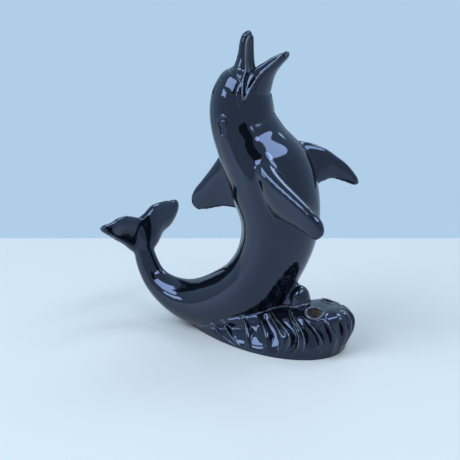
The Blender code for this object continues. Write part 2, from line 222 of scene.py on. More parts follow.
NEAR_FLUKE_FRONT = (
    (-55.5, 3.0, 21.0), (-57.1, -2.6, 23.2), (-57.5, -5.9, 25.9),
    (-58.0, -10.5, 28.8), (-57.9, -15.7, 32.0), (-58.7, -18.92, 34.3),
)
NEAR_FLUKE_REAR = (
    (-53.0, 4.0, 34.0), (-54.5, 0.0, 34.8), (-56.1, -5.9, 36.7),
    (-56.9, -9.8, 36.9), (-57.1, -13.1, 36.2), (-58.6, -18.8, 35.9),
)
FAR_FLUKE_FRONT = (
    (-53.0, -3.0, 22.0), (-51.0, 2.6, 23.9), (-51.0, 7.9, 27.6),
    (-50.3, 13.1, 29.8), (-50.4, 17.7, 33.9), (-51.2, 19.12, 36.3),
)
FAR_FLUKE_REAR = (
    (-56.0, -2.0, 34.0), (-54.4, 2.0, 36.0), (-53.9, 5.5, 37.8),
    (-53.2, 10.5, 38.2), (-52.6, 15.0, 37.7), (-52.0, 19.0, 37.4),
)
FLUKE_THICKNESS = (5.4, 2.6)
# How much thicker a fin is towards its front edge
FRONT_FULLNESS = 0.35

# Flutes, from the wave's tip to the middle of its head: the rear edge and the front edge of
# each hollow, as shares of the way round at the foot, a third up, two thirds up and the crown,
# and the hollow's share of the depth
FLUTES = (
    ((0.42, 0.1, 0.04, 0.03), (0.44, 0.2, 0.12, 0.1), 0.6),
    ((0.445, 0.22, 0.14, 0.12), (0.455, 0.33, 0.26, 0.2), 0.8),
    ((0.46, 0.35, 0.28, 0.22), (0.465, 0.45, 0.415, 0.304), 0.9),
    ((0.502, 0.481, 0.437, 0.37), (0.563, 0.552, 0.504, 0.421), 1.0),
    ((0.588, 0.585, 0.542, 0.458), (0.638, 0.632, 0.58, 0.482), 1.0),
    ((0.655, 0.656, 0.598, 0.487), (0.664, 0.667, 0.609, 0.49), 0.3),
    ((0.682, 0.686, 0.626, 0.497), (0.714, 0.71, 0.667, 0.591), 1.0),
    ((0.738, 0.722, 0.674, 0.592), (0.747, 0.732, 0.684, 0.594), 0.3),
    ((0.765, 0.748, 0.694, 0.597), (0.819, 0.8, 0.739, 0.637), 1.0),
    ((0.846, 0.827, 0.761, 0.649), (0.893, 0.863, 0.823, 0.773), 1.0),
    ((0.925, 0.902, 0.857, 0.8), (0.961, 0.943, 0.912, 0.866), 1.0),
    ((0.985, 0.978, 0.955, 0.955), (0.995, 0.995, 0.995, 0.99), 0.8),
)
# How much of a hollow's depth is curved across, the share of each rib that the hollows beside it
# take, how tightly a hollow is scooped from foot to crest, how high its deepest place sits (half
# way up at one), and the share of the wave's length over which the hollows fade to the tip
FLUTE_HOLLOW = 0.22
RIB_NARROWING = 0.45
FLUTE_SCOOP = 1.3
FLUTE_RAISE = 1.4
FLUTE_TIP_FADE = 0.2
# The wave's footprint: exponents of its tip and head, and where the head's centre is
TIP_TAPER = 0.9
HEAD_ROUNDNESS = 0.45
HEAD_CENTRE = 0.84
# How square the wave's wall is: share of its length from the tip, exponent
WALL_SQUARENESS = (
    (0.0, 3.0), (0.15, 2.6), (0.3, 2.1), (0.5, 2.0), (0.7, 2.4), (0.8, 2.9), (1.0, 3.1),
)
# The head's forward lean: where it starts along the wave, the share of the height where it is
# full, and how it curves
OVERHANG_START = 0.4
OVERHANG_FULL = 0.95
OVERHANG_CURVE = 1.3
# The wave's back: share of its length from the tip, share of its height
WAVE_BACK = (
    (0.0, 0.3), (0.1, 0.6), (0.2, 0.78), (0.35, 0.83), (0.6, 0.84), (0.7, 0.92), (0.77, 0.97),
    (0.86, 0.93), (1.0, 0.92),
)

# Carving on the head's near side, laid on the skin and mirrored: x, y and z in hundredths of
# the height, and each bead's height and width
LIP_CREASE = (
    (-13.3, -7.1, 84.7), (-13.6, -8.0, 83.3), (-13.8, -8.7, 81.2), (-13.5, -9.0, 79.7),
    (-12.9, -9.0, 78.2),
)
MELON_CREASE = (
    (-21.0, 0.0, 88.6), (-19.6, -2.2, 88.4), (-17.4, -4.6, 87.7), (-15.9, -5.4, 87.2),
    (-13.9, -6.4, 86.0),
)
MELON_BEAD = (
    (-17.2, -4.0, 88.5), (-15.8, -4.8, 88.1), (-14.0, -5.7, 87.0),
)
THROAT_STEP = ((-9.2, -5.6, 81.0), (-7.5, -3.5, 80.8), (-6.7, -0.8, 80.4), (-6.6, 0.8, 80.4))
HEAD_LINES = (
    (LIP_CREASE, -0.22, 0.4), (MELON_CREASE, -0.32, 0.38), (MELON_BEAD, 0.12, 0.4),
    (THROAT_STEP, -0.2, 0.6),
)
# The groove outside the mouth's bead: height and width, and how far off it runs
RIM_GROOVE = (-0.08, 0.3)
RIM_GROOVE_AWAY = 0.75
# The ring at the mouth's corner: its centre, its radius, and its height and width
CORNER = (-11.5, -8.9, 80.2)
CORNER_RADIUS = 0.6
CORNER_RING = (-0.16, 0.25)
# The eye: its centre, the radius and the tail of its almond edge with the tail's curve and
# slope, the ball's height and radius, and the groove and the lid along the edge: how far outside
# it, height and width
EYE = (-17.5, -10.3, 72.4)
EYE_RADIUS = 1.5
EYE_TAIL = 3.75
EYE_TAIL_CURVE = 0.8
EYE_TAIL_SLOPE = 0.85
EYE_BALL_HEIGHT = 0.4
EYE_BALL_RADIUS = 1.15
EYE_GROOVE_OUT = -0.1
EYE_GROOVE = (-0.36, 0.27)
EYE_LID_OUT = 0.5
EYE_LID = (0.2, 0.35)
EYE_FINE_REACH = EYE_TAIL * 1.4
EYE_CARVED_REACH = EYE_TAIL * 1.5

# Beads of glaze round the mouth and the holes and along the wave's crest, in metres: radius,
# where the crest's bead starts along x, and how far beside a bead the skin is smoothed
RIM_BEAD_RADIUS = 0.00036
HOLE_BEAD_RADIUS = 0.00055
CREST_BEAD_RADIUS = 0.0008
CREST_BEAD_FROM = -0.036
RIM_REACH = 0.0014
CREST_REACH = 0.0017
# How far out of its corner the crest's bead sits, in radii, and how far a hole's bead runs round
CREST_BEAD_OUT = 0.4
HOLE_BEAD_TURN = 2.1 * math.pi

# Colours, gloss and bumps in metres of the glaze and the clay, and the bulge, per metre, where
# the glaze starts to thin and where it is thinnest
GLAZE_COLOUR = (0.0016, 0.0022, 0.0034)
GLAZE_CLOUD = (0.003, 0.0042, 0.0068)
GLAZE_SPECK = (0.02, 0.021, 0.024)
THIN_GLAZE = (0.125, 0.135, 0.16)
# The clay's two colours are its own brown, darkened as painted shade for the inside of the holes
CLAY_DARK = (0.03, 0.024, 0.02)
CLAY_LIGHT = (0.12, 0.092, 0.07)
GLAZE_IOR = 1.6
GLAZE_SPECULAR = 0.66
GLAZE_TINT = (0.54, 0.66, 1.0, 1.0)
GLAZE_ROUGHNESS = (0.03, 0.08)
CLAY_ROUGHNESS = (0.75, 0.98)
WAVES_BUMP = 0.00007
RUNS_BUMP = 0.00001
BLOTCHES_BUMP = 0.00015
GRAIN_BUMP = 0.00006
EDGE_ATTRIBUTE = "thin_glaze"
THIN_FROM = 400.0
THIN_FULL = 1200.0

# Camera of the photograph, and how far the floor runs ahead of it, behind it and to each side
CAMERA_PLACE = (0.2588, -0.5230, 0.2231)
CAMERA_TILT = math.radians(74)
CAMERA_TURN = math.radians(28)
CAMERA_LENS = 97.04
CAMERA_SENSOR = 36.0
FLOOR_AHEAD_OF_CAMERA = 0.759
FLOOR_BEHIND_CAMERA = 1.0
FLOOR_HALF_WIDTH = 1.5

# Stage: colours, the radiance of the windows, and windows and dark cards by name, azimuth and
# elevation in degrees (azimuth 0 towards the camera), width and height in metres, and shape
FLOOR_COLOUR = (0.59, 0.57, 0.55)
CARD_COLOUR = (0.02, 0.022, 0.026)
ROOM_BEHIND = (0.434, 0.617, 0.807)
ROOM_IN_FRONT = (0.47, 0.56, 0.64)
ROOM_BLEND = (-0.3, 0.3)
WINDOW_LIGHT = (4.4, 5.3, 6.4)
WINDOW_DISTANCE = 1.5
WINDOWS = (
    ("window_right", 52, 58, 1.5, 0.42, "ELLIPSE"),
    ("window_front", 10, 48, 0.32, 0.24, "ELLIPSE"),
    ("window_behind", 138, 52, 0.45, 0.5, "RECTANGLE"),
    ("window_left", -62, 45, 1.1, 0.8, "RECTANGLE"),
    ("window_low_left", -77, 17, 0.5, 0.3, "RECTANGLE"),
)
CARD_DISTANCE = 2.0
CARD_SIDES = 48
CARD_SQUARENESS = 0.6
DARK_CARDS = (
    ("dark_front", -24, 34, 1.75, 0.64),
    ("dark_left", -140, 0, 0.18, 1.6),
    ("dark_back", 180, 2, 3.6, 0.22),
)


def smooth_curve(points, count):
    """Rows spread evenly along a smooth curve through the given rows."""
    rows = np.array(points, float)
    places = rows[:, :3] if rows.shape[1] == 3 else rows[:, :2]
    steps = np.linalg.norm(np.diff(places, axis=0), axis=1)
    knots = np.concatenate([[0.0], np.cumsum(steps)])
    slopes = np.gradient(rows, knots, axis=0)
    along = np.linspace(0.0, knots[-1], count)
    first = np.clip(np.searchsorted(knots, along, side="right") - 1, 0, len(rows) - 2)
    span = (knots[first + 1] - knots[first])[:, None]
    t = (along - knots[first])[:, None] / span
    start = (1 + 2 * t) * (1 - t) ** 2 * rows[first] + t * (1 - t) ** 2 * span * slopes[first]
    end = t * t * (3 - 2 * t) * rows[first + 1] + t * t * (t - 1) * span * slopes[first + 1]
    return start + end


def loft(mesh, rings, closed_ends=2):
    """Skin a row of equal rings and close the first end, or both, with a fan."""
    sides = len(rings[0])
    layers = [[mesh.verts.new(point) for point in ring] for ring in rings]
    for lower, upper in zip(layers, layers[1:]):
        for i in range(sides):
            j = (i + 1) % sides
            mesh.faces.new((lower[i], lower[j], upper[j], upper[i]))
    for layer, turn in ((layers[0], -1), (layers[-1], 1))[:closed_ends]:
        middle = sum((v.co for v in layer), Vector()) / sides
        tip = mesh.verts.new(middle)
        for i in range(sides):
            pair = (layer[i], layer[(i + 1) % sides])[::turn]
            mesh.faces.new((pair[0], pair[1], tip))


def figure_point(x, y, z):
    """A point of the dolphin, from hundredths of its height to metres."""
    unit = FIGURE_HEIGHT / 100
    return np.array(((x + FIGURE_SETBACK) * unit, y * unit, z * unit))


def end_rounding(count, share):
    """How much each ring keeps of its size, so that both ends close as a dome."""
    place = np.linspace(0.0, 1.0, count)
    from_end = np.clip(np.minimum(place, 1 - place) / share, 0.0, 1.0)
    return np.sqrt(1 - (1 - from_end) ** 2).clip(SMALLEST_RING)


def signed_power(value, power):
    """A value's size to a power, with the value's sign."""
    return math.copysign(abs(value) ** power, value)


def smooth_line(line, rounds):
    """Even out a line of points between its ends, in place."""
    for _ in range(rounds):
        line[1:-1] = (line[:-2] + 2 * line[1:-1] + line[2:]) / 4


def spine_loft(
    mesh, stations, back_side, belly_side, width, keel, sides=64, count=200, share=0.02, square=2.0
):
    """Sweep an oval section, squarer if asked, along a spine that lies in the mid-plane. The
    numbers from back_side to keel say which column of the stations holds what, and 0 is none."""
    unit = FIGURE_HEIGHT / 100
    rows = smooth_curve(stations, count)
    way = np.gradient(rows[:, :2], axis=0)
    way /= np.linalg.norm(way, axis=1)[:, None]
    size = end_rounding(count, share)
    rings = []
    for row, (tx, tz), keep in zip(rows, way, size):
        centre = figure_point(row[0], 0.0, row[1])
        belly = np.array((tz, 0.0, -tx))
        ring = []
        for i in range(sides):
            angle = 2 * math.pi * i / sides
            across = signed_power(math.cos(angle), 2 / square)
            out = signed_power(math.sin(angle), 2 / square)
            depth = row[belly_side] if out > 0 else row[back_side]
            pinch = 1 - row[keel] * out * out if keel and out < 0 else 1.0
            offset = belly * depth * out + np.array((0.0, 1.0, 0.0)) * row[width] * pinch * across
            ring.append(centre + offset * unit * keep)
        rings.append(ring)
    loft(mesh, rings)


def blade(mesh, front, rear, thickness, blunt=1.0):
    """A fin between a front and a rear edge, thicker towards its front edge, which is flatter
    the less blunt is than one."""
    fronts = smooth_curve(front, FIN_RINGS)
    rears = smooth_curve(rear, FIN_RINGS)
    middle = (fronts + rears) / 2
    span = np.gradient(middle, axis=0)
    chord = rears - fronts
    normal = np.cross(chord, span)
    normal /= np.linalg.norm(normal, axis=1)[:, None]
    heights = np.linspace(thickness[0], thickness[1], FIN_RINGS)
    size = end_rounding(FIN_RINGS, FIN_END)
    rings = []
    for i in range(FIN_RINGS):
        ring = []
        for k in range(FIN_SIDES):
            angle = 2 * math.pi * k / FIN_SIDES
            ahead = math.cos(angle)
            along = -(ahead ** blunt if ahead > 0 else ahead) / 2
            bulge = math.sin(angle) * (1 - FRONT_FULLNESS * along)
            offset = chord[i] * along + normal[i] * heights[i] / 2 * bulge
            ring.append(figure_point(*(middle[i] + offset * size[i])))
        rings.append(ring)
    loft(mesh, rings)


def wave_half_width(place):
    """Half width of the teardrop footprint at a share of its length from the tip."""
    peak = TIP_TAPER / (TIP_TAPER + HEAD_ROUNDNESS)
    rise = (place / peak) ** TIP_TAPER
    fall = ((1 - place) / (1 - peak)) ** HEAD_ROUNDNESS
    return WAVE_WIDTH / 2 * rise * fall


def wave_crest(place):
    """Height of the wave's back at a share of its length from the tip."""
    shares, heights = smooth_curve(WAVE_BACK, WAVE_BACK_STEPS).T
    return WAVE_HEIGHT * np.interp(place, shares, heights)


def flute_marks(height):
    """Where the hollows' edges run at one level, as shares of the way round, and both ends. Each
    rib between two hollows is narrowed from both sides."""
    thirds = (0.0, 1 / 3, 2 / 3, 1.0)
    edges = [edge for flute in FLUTES for edge in flute[:2]]
    marks = [float(np.polyval(np.polyfit(thirds, edge, 3), height)) for edge in edges]
    for rear in range(1, len(marks) - 1, 2):
        narrower = (marks[rear + 1] - marks[rear]) * RIB_NARROWING / 2
        marks[rear] += narrower
        marks[rear + 1] -= narrower
    return [0.0] + marks + [1.0]


def column_counts(length):
    """How many columns each hollow and each rib gets, by its width half way up."""
    widths = np.diff(flute_marks(0.5)) * length
    return np.maximum(np.ceil(widths / COLUMN_SPACING), LEAST_COLUMNS).astype(int)


def wave_columns(height):
    """Places of the columns at one level, and each one's depth share; columns follow the flutes."""
    places = (1 - np.cos(np.linspace(0.0, math.pi, WAVE_WAY_STEPS))) / 2
    steps = np.hypot(np.diff(places) * WAVE_LENGTH, np.diff(wave_half_width(places)))
    way_round = np.concatenate([[0.0], np.cumsum(steps)])
    marks = flute_marks(height)
    depth_shares = [flute[2] for flute in FLUTES]
    ways, depths = [], []
    for index, (low, high, count) in enumerate(zip(marks, marks[1:], column_counts(way_round[-1]))):
        share = np.linspace(0.0, 1.0, count, endpoint=False)
        gap = (high - low) * way_round[-1]
        slope = np.clip(np.minimum(share, 1 - share) * gap / FLUTE_SHOULDER, 0.0, 1.0)
        arch = np.sin(math.pi * share)
        hollow = (1 - FLUTE_HOLLOW + FLUTE_HOLLOW * arch) * slope * slope * (3 - 2 * slope)
        rib = -RIB_HEIGHT / FLUTE_DEPTH * arch * min(1.0, WIDEST_RIB / gap)
        ways.extend(low + (high - low) * share)
        depths.extend(hollow * depth_shares[index // 2] if index % 2 else rib)
    ways.append(1.0)
    depths.append(0.0)
    return np.interp(np.array(ways) * way_round[-1], way_round, places), np.array(depths)


def outward(points):
    """Normals of a grid of points, not of unit length."""
    return np.cross(np.gradient(points, axis=0), np.gradient(points, axis=1))


def wave_half(keep_off=None):
    """Points of one side of the fluted wave, level by level. The flutes end short of a body and
    of the holes."""
    points, depths, rises = [], [], []
    for level in range(WAVE_LEVELS + 1):
        turn = level / WAVE_LEVELS * math.pi / 2
        places, depth = wave_columns(math.sin(turn))
        anchors = np.minimum(places, HEAD_CENTRE)
        power = 2 / np.interp(places, *zip(*WALL_SQUARENESS))
        rise = math.sin(turn) ** power
        inset = max(math.cos(turn), 0.0) ** power
        ahead = np.clip((places - OVERHANG_START) / (1 - OVERHANG_START), 0.0, 1.0)
        share = np.minimum(rise / OVERHANG_FULL, 1.0)
        lean = WAVE_OVERHANG * ahead * np.sin(share * math.pi / 2) ** OVERHANG_CURVE
        x = (anchors + (places - anchors) * inset - 0.5) * WAVE_LENGTH + lean
        y = wave_half_width(places) * inset
        points.append(np.stack([x, y, wave_crest(anchors) * rise], axis=1))
        depths.append(depth * np.minimum(1.0, places / FLUTE_TIP_FADE))
        rises.append(np.full(len(places), rise))
    points = np.array(points)
    out = outward(points)
    out /= np.linalg.norm(out, axis=2)[:, :, None] + 1e-12
    gaps = np.full(points.shape[:2], np.inf)
    if keep_off:
        for place in np.ndindex(gaps.shape):
            gaps[place] = keep_off.find_nearest(Vector(points[place]))[3]
    above = np.maximum(points[:, :, 2] - BAND_HEIGHT, 0.0)
    below_rim = np.maximum(gaps - RIM_WIDTH, 0.0)
    share = np.maximum(above / (above + below_rim + 1e-9), np.array(rises))
    scoop = np.sin(math.pi * share ** FLUTE_RAISE).clip(0.0) ** FLUTE_SCOOP
    for centre in hole_centres():
        apart = np.linalg.norm(points[:, :, :2] - (centre[0], abs(centre[1])), axis=2)
        scoop *= np.clip((apart - HOLE_DIAMETER / 2 - HOLE_BEAD_RADIUS) / HOLE_SHOULDER, 0.0, 1.0)
    return points - out * (FLUTE_DEPTH * np.array(depths) * scoop)[:, :, None]


def wave(mesh, keep_off=None):
    """The fluted wave: a teardrop footprint under a rounded, forward-leaning wall. Both sides
    meet along the crest line, where they are welded."""
    points = wave_half(keep_off)
    foot = points[:1] - (0.0, 0.0, FOOT_SINK)
    rings = []
    for half in np.concatenate([foot, points]):
        near = half[-2:0:-1] * (1, -1, 1)
        rings.append(np.concatenate([half, near]))
    loft(mesh, rings, closed_ends=1)
    bmesh.ops.remove_doubles(mesh, verts=mesh.verts, dist=WAVE_WELD_DISTANCE)


def splash(mesh):
    """The small curl of water and the web that joins it to the belly."""
    hundredths = 100 / FIGURE_HEIGHT
    radius = SPLASH_RADIUS * hundredths
    top = SPLASH_HEIGHT * hundredths
    for shape in (SPLASH_SHAPE, SPLASH_WEB):
        stations = [(x, top * rise, radius * deep, radius * wide) for x, rise, deep, wide in shape]
        spine_loft(mesh, stations, 2, 2, 3, 0, sides=32, count=32, share=0.3)


def new_mesh_object(name, build, slot=0):
    """A mesh object with the figurine's materials, all its faces in one of their slots."""
    mesh = bmesh.new()
    build(mesh)
    bmesh.ops.recalc_face_normals(mesh, faces=mesh.faces)
    for face in mesh.faces:
        face.material_index = slot
    data = bpy.data.meshes.new(name)
    mesh.to_mesh(data)
    mesh.free()
    for material in MATERIALS:
        data.materials.append(material)
    item = bpy.data.objects.new(name, data)
    bpy.context.scene.collection.objects.link(item)
    return item


def apply_modifiers(item):
    """Turn the modifiers on an object into its mesh."""
    graph = bpy.context.evaluated_depsgraph_get()
    data = bpy.data.meshes.new_from_object(item.evaluated_get(graph))
    item.modifiers.clear()
    item.data = data


def remesh(item):
    """Fuse overlapping forms into one even skin."""
    fused = item.modifiers.new("fused skin", "REMESH")
    fused.mode = "VOXEL"
    fused.voxel_size = VOXEL_SIZE
    apply_modifiers(item)


def put_in_order(item):
    """Number an object's points and faces by their places, because a Boolean's own order differs
    from run to run."""
    points = read_vectors(item, "co")
    order = np.lexsort(points.T)
    rank = np.argsort(order)
    faces = []
    for face in item.data.polygons:
        corners = rank[list(face.vertices)].tolist()
        first = corners.index(min(corners))
        faces.append((corners[first:] + corners[:first], face.material_index))
    faces.sort()
    data = bpy.data.meshes.new(item.name)
    data.from_pydata(points[order].tolist(), [], [corners for corners, _ in faces])
    for material in MATERIALS:
        data.materials.append(material)
    data.polygons.foreach_set("material_index", [slot for _, slot in faces])
    item.data = data


def combine(item, other, operation):
    """Join another object to one, or cut it out of it, and drop the other."""
    boolean = item.modifiers.new(other.name, "BOOLEAN")
    boolean.operation = operation
    boolean.solver = "EXACT"
    boolean.object = other
    apply_modifiers(item)
    put_in_order(item)
    bpy.data.objects.remove(other)


def dolphin_forms(mesh):
    """Every form of the dolphin, overlapping where one grows out of another, and the splash."""
    spine_loft(mesh, SPINE, 2, 2, 3, 4)
    for beak in (UPPER_BEAK, LOWER_JAW):
        spine_loft(mesh, beak, 2, 3, 4, 0, sides=48, count=80, share=0.12)
    blade(mesh, DORSAL_FRONT, DORSAL_REAR, DORSAL_THICKNESS)
    blade(mesh, NEAR_FRONT, NEAR_REAR, NEAR_THICKNESS, blunt=NEAR_BLUNTNESS)
    blade(mesh, FAR_FRONT, FAR_REAR, FAR_THICKNESS)
    blade(mesh, NEAR_FLUKE_FRONT, NEAR_FLUKE_REAR, FLUKE_THICKNESS)
    blade(mesh, FAR_FLUKE_FRONT, FAR_FLUKE_REAR, FLUKE_THICKNESS)
    splash(mesh)


def mouth_outline():
    """The open mouth from the side, as a smooth line of x and z in hundredths."""
    return smooth_curve(PALATE + JAW_LINE, MOUTH_STEPS)


def mouth_cutter(mesh):
    """The open mouth: its side outline carried across the whole head, as a fine grid."""
    outline = mouth_outline()
    across = np.linspace(-MOUTH_REACH, MOUTH_REACH, MOUTH_COLUMNS)
    corner = int(np.argmin(outline[:, 1]))
    rows = []
    for i, (x, z) in enumerate(outline):
        along = min(max((z - TROUGH_FROM) / (TROUGH_TO - TROUGH_FROM), 0.0), 1.0)
        half = TROUGH_HALF_WIDTH[0] + (TROUGH_HALF_WIDTH[1] - TROUGH_HALF_WIDTH[0]) * along
        ramp = min(max((z - TROUGH_FROM) / TROUGH_RAMP, 0.0), 1.0)
        deep = TROUGH_DEPTH * ramp if i < corner else 0.0
        shift = deep * np.clip(1 - (across / half) ** 2, 0.0, 1.0)
        rows.append([mesh.verts.new(figure_point(x - dx, y, z)) for y, dx in zip(across, shift)])
    for lower, upper in zip(rows, rows[1:] + rows[:1]):
        for i in range(MOUTH_COLUMNS - 1):
            mesh.faces.new((lower[i], lower[i + 1], upper[i + 1], upper[i]))
    for end in (0, -1):
        mesh.faces.new([row[end] for row in rows])


def mouth_rim(tree):
    """One line round the open mouth, where its outline leaves the skin, along the near side from
    the jaw's tip to the beak's and back along the far side, and how many points the near side
    has."""
    reach = MOUTH_REACH * FIGURE_HEIGHT / 100
    sides = []
    for side in (-1, 1):
        places = []
        for x, z in mouth_outline():
            start = Vector(figure_point(x, side * MOUTH_REACH, z))
            place = tree.ray_cast(start, Vector((0.0, -side, 0.0)), reach)[0]
            if place:
                places.append(place)
        sides.append(places)
    line = np.array(sides[0][::-1] + sides[1])
    smooth_line(line, RIM_LINE_SMOOTHING)
    return line, len(sides[0])


def tube(mesh, line, radius):
    """A round bead along a line of points, tapered to nothing at both ends."""
    way = np.gradient(line, axis=0)
    way /= np.linalg.norm(way, axis=1)[:, None]
    across = np.cross(way[0], (0.0, 1.0, 0.0))
    size = end_rounding(len(line), BEAD_END)
    turns = [2 * math.pi * k / BEAD_SIDES for k in range(BEAD_SIDES)]
    rings = []
    for place, ahead, keep in zip(line, way, size):
        across = across - ahead * across.dot(ahead)
        across /= np.linalg.norm(across)
        other = np.cross(ahead, across)
        ways = [across * math.cos(turn) + other * math.sin(turn) for turn in turns]
        rings.append([place + out * radius * keep for out in ways])
    loft(mesh, rings)


def read_vectors(item, name):
    """The places or normals of an object's points, as rows."""
    values = np.empty(len(item.data.vertices) * 3)
    item.data.vertices.foreach_get(name, values)
    return values.reshape(-1, 3)


def move_points(item, points):
    """Put an object's points at the given rows."""
    item.data.vertices.foreach_set("co", points.ravel())
    item.data.update()


def skin_tree(item):
    """The skin of an object, ready for finding the nearest place on it."""
    corners = [vert.co for vert in item.data.vertices]
    return BVHTree.FromPolygons(corners, [face.vertices for face in item.data.polygons])


def soften(item):
    """Smooth the whole skin."""
    smooth = item.modifiers.new("soft skin", "SMOOTH")
    smooth.iterations = BODY_SMOOTHING
    apply_modifiers(item)


def head_path(tree, points):
    """A smooth curve through near-side points, laid on the skin and mirrored to the far side."""
    places = []
    for row in smooth_curve(points, HEAD_PATH_STEPS):
        for side in (1, -1):
            place = figure_point(row[0], row[1] * side, row[2])
            places.append(tree.find_nearest(Vector(place))[0])
    return np.array(places)


def distances(points, places, reach):
    """Distance of each point to the nearest place, where one is within reach."""
    near = np.all((points > places.min(0) - reach) & (points < places.max(0) + reach), axis=1)
    result = np.full(len(points), np.inf)
    gaps = points[near][:, None] - places[None]
    result[near] = np.sqrt((gaps ** 2).sum(2)).min(1)
    return result


def subdivide(item, close, rounds):
    """Cut the faces at the marked points in four and even out the new skin."""
    mesh = bmesh.new()
    mesh.from_mesh(item.data)
    edges = [edge for edge in mesh.edges if any(close[vert.index] for vert in edge.verts)]
    fresh = bmesh.ops.subdivide_edges(mesh, edges=edges, cuts=1, use_grid_fill=True)
    verts = [element for element in fresh["geom_inner"] if isinstance(element, bmesh.types.BMVert)]
    for _ in range(rounds):
        smooth_verts(mesh, verts)
    mesh.to_mesh(item.data)
    mesh.free()


def smooth_verts(mesh, verts):
    """Move points half way to the middle of their neighbours."""
    bmesh.ops.smooth_vert(
        mesh, verts=verts, factor=0.5, use_axis_x=True, use_axis_y=True, use_axis_z=True
    )


def refine(item, places, reach):
    """Subdivide the skin within reach of the places."""
    subdivide(item, distances(read_vectors(item, "co"), places, reach) < reach, 0)


def refine_head(item):
    """Subdivide the skin of the head above the eyes, and smooth it again."""
    head = read_vectors(item, "co")[:, 2] > FINE_HEAD_FROM * FIGURE_HEIGHT / 100
    subdivide(item, head, HEAD_SMOOTHING)


def ripple(distance, height, width):
    """A rounded bead, or a groove where the height is negative."""
    return height * np.exp(-((distance / width) ** 2))


def eye_lift(points, centre, normal):
    """Height of the eye's ball, groove and lid above the skin, in hundredths."""
    unit = FIGURE_HEIGHT / 100
    forward = Vector((1.0, 0.0, 0.0))
    forward = (forward - normal * forward.dot(normal)).normalized()
    up = forward.cross(normal)
    up *= 1 if up.z > 0 else -1
    offset = (points - np.array(centre)) / unit
    ahead = offset @ np.array(forward)
    above = offset @ np.array(up)
    away = np.linalg.norm(offset, axis=1)
    radius = np.hypot(ahead, above)
    taper = np.clip(1 + above / EYE_TAIL, 0.0, 1.0)
    tail = np.maximum(np.abs(ahead) - EYE_RADIUS * taper ** EYE_TAIL_CURVE, -EYE_TAIL - above)
    edge = np.where(above > 0, radius - EYE_RADIUS, tail * EYE_TAIL_SLOPE)
    ball = EYE_BALL_HEIGHT * np.sqrt(np.clip(1 - (radius / EYE_BALL_RADIUS) ** 2, 0.0, 1.0))
    groove = ripple(edge - EYE_GROOVE_OUT, *EYE_GROOVE)
    lift = ball + groove + ripple(edge - EYE_LID_OUT, *EYE_LID)
    return np.where(away < EYE_CARVED_REACH, lift, 0.0)


def nearest_pair(tree, point):
    """Place and normal of the skin nearest to a point and to its mirror image."""
    x, y, z = point
    return [tree.find_nearest(Vector(figure_point(x, y * side, z)))[:2] for side in (1, -1)]


def carve_head(item, rim):
    """Creases, the groove outside the mouth's rim, eyes and mouth corners, as small lifts of the
    skin along its normals."""
    unit = FIGURE_HEIGHT / 100
    tree = skin_tree(item)
    lines = [(head_path(tree, points), height, width) for points, height, width in HEAD_LINES]
    eyes = nearest_pair(tree, EYE)
    for line, _, _ in lines:
        refine(item, line, FINE_CREASE_REACH)
    refine(item, np.array([place for place, _ in eyes]), EYE_FINE_REACH * unit)
    points = read_vectors(item, "co")
    normals = read_vectors(item, "normal")
    lift = np.zeros(len(points))
    for line, height, width in lines:
        lift += ripple(distances(points, line, 4 * width * unit) / unit, height, width)
    away = distances(points, rim, 3 * RIM_GROOVE_AWAY * unit) / unit
    lift += ripple(away - RIM_GROOVE_AWAY, *RIM_GROOVE)
    for place, normal in eyes:
        lift += eye_lift(points, place, normal)
    for corner, _ in nearest_pair(tree, CORNER):
        away = np.linalg.norm(points - np.array(corner), axis=1) / unit
        lift += ripple(away - CORNER_RADIUS, *CORNER_RING)
    move_points(item, points + normals * (lift * unit)[:, None])


def soften_creases(item, low, high, rounds):
    """Round the sharp lines between two heights, such as where one form meets another."""
    mesh = bmesh.new()
    mesh.from_mesh(item.data)
    bmesh.ops.remove_doubles(mesh, verts=mesh.verts, dist=WELD_DISTANCE)
    verts = set()
    for edge in mesh.edges:
        if low < edge.verts[0].co.z < high and edge.calc_face_angle(0.0) > CREASE_ANGLE:
            verts.update(edge.verts)
    verts |= {edge.other_vert(vert) for vert in verts for edge in vert.link_edges}
    for _ in range(rounds):
        smooth_verts(mesh, [vert for vert in mesh.verts if vert in verts])
    mesh.to_mesh(item.data)
    mesh.free()


def soften_along(item, line, reach, rounds):
    """Smooth the skin within reach of a line of points."""
    mesh = bmesh.new()
    mesh.from_mesh(item.data)
    close = distances(read_vectors(item, "co"), line, reach) < reach
    verts = [vert for vert in mesh.verts if close[vert.index]]
    for _ in range(rounds):
        smooth_verts(mesh, verts)
    mesh.to_mesh(item.data)
    mesh.free()


def crest_line(tree):
    """Where the plain wave's wall rises into the dolphin, from its tip to the belly, lifted a
    little out of that corner and laid on the near side."""
    points = wave_half()
    out = outward(points)
    line = []
    for column in range(points.shape[1]):
        if points[0, column, 0] < CREST_BEAD_FROM:
            continue
        for low, high, away in zip(points[:-1, column], points[1:, column], out[1:, column]):
            place, normal = tree.find_nearest(Vector(high))[:2]
            if (Vector(high) - place).dot(normal) < 0:
                corner = np.array((Vector(away).normalized() + normal).normalized())
                line.append((low + high) / 2 + corner * CREST_BEAD_RADIUS * CREST_BEAD_OUT)
                break
    line = np.array(line) * (1, -1, 1)
    smooth_line(line, CREST_LINE_SMOOTHING)
    return line


def hole_centres():
    """Middles of the near and the far hole, x and y."""
    x = WAVE_LENGTH / 2 + WAVE_OVERHANG - HOLE_FROM_HEAD
    return [(x, side * HOLE_SPACING / 2) for side in (-1, 1)]


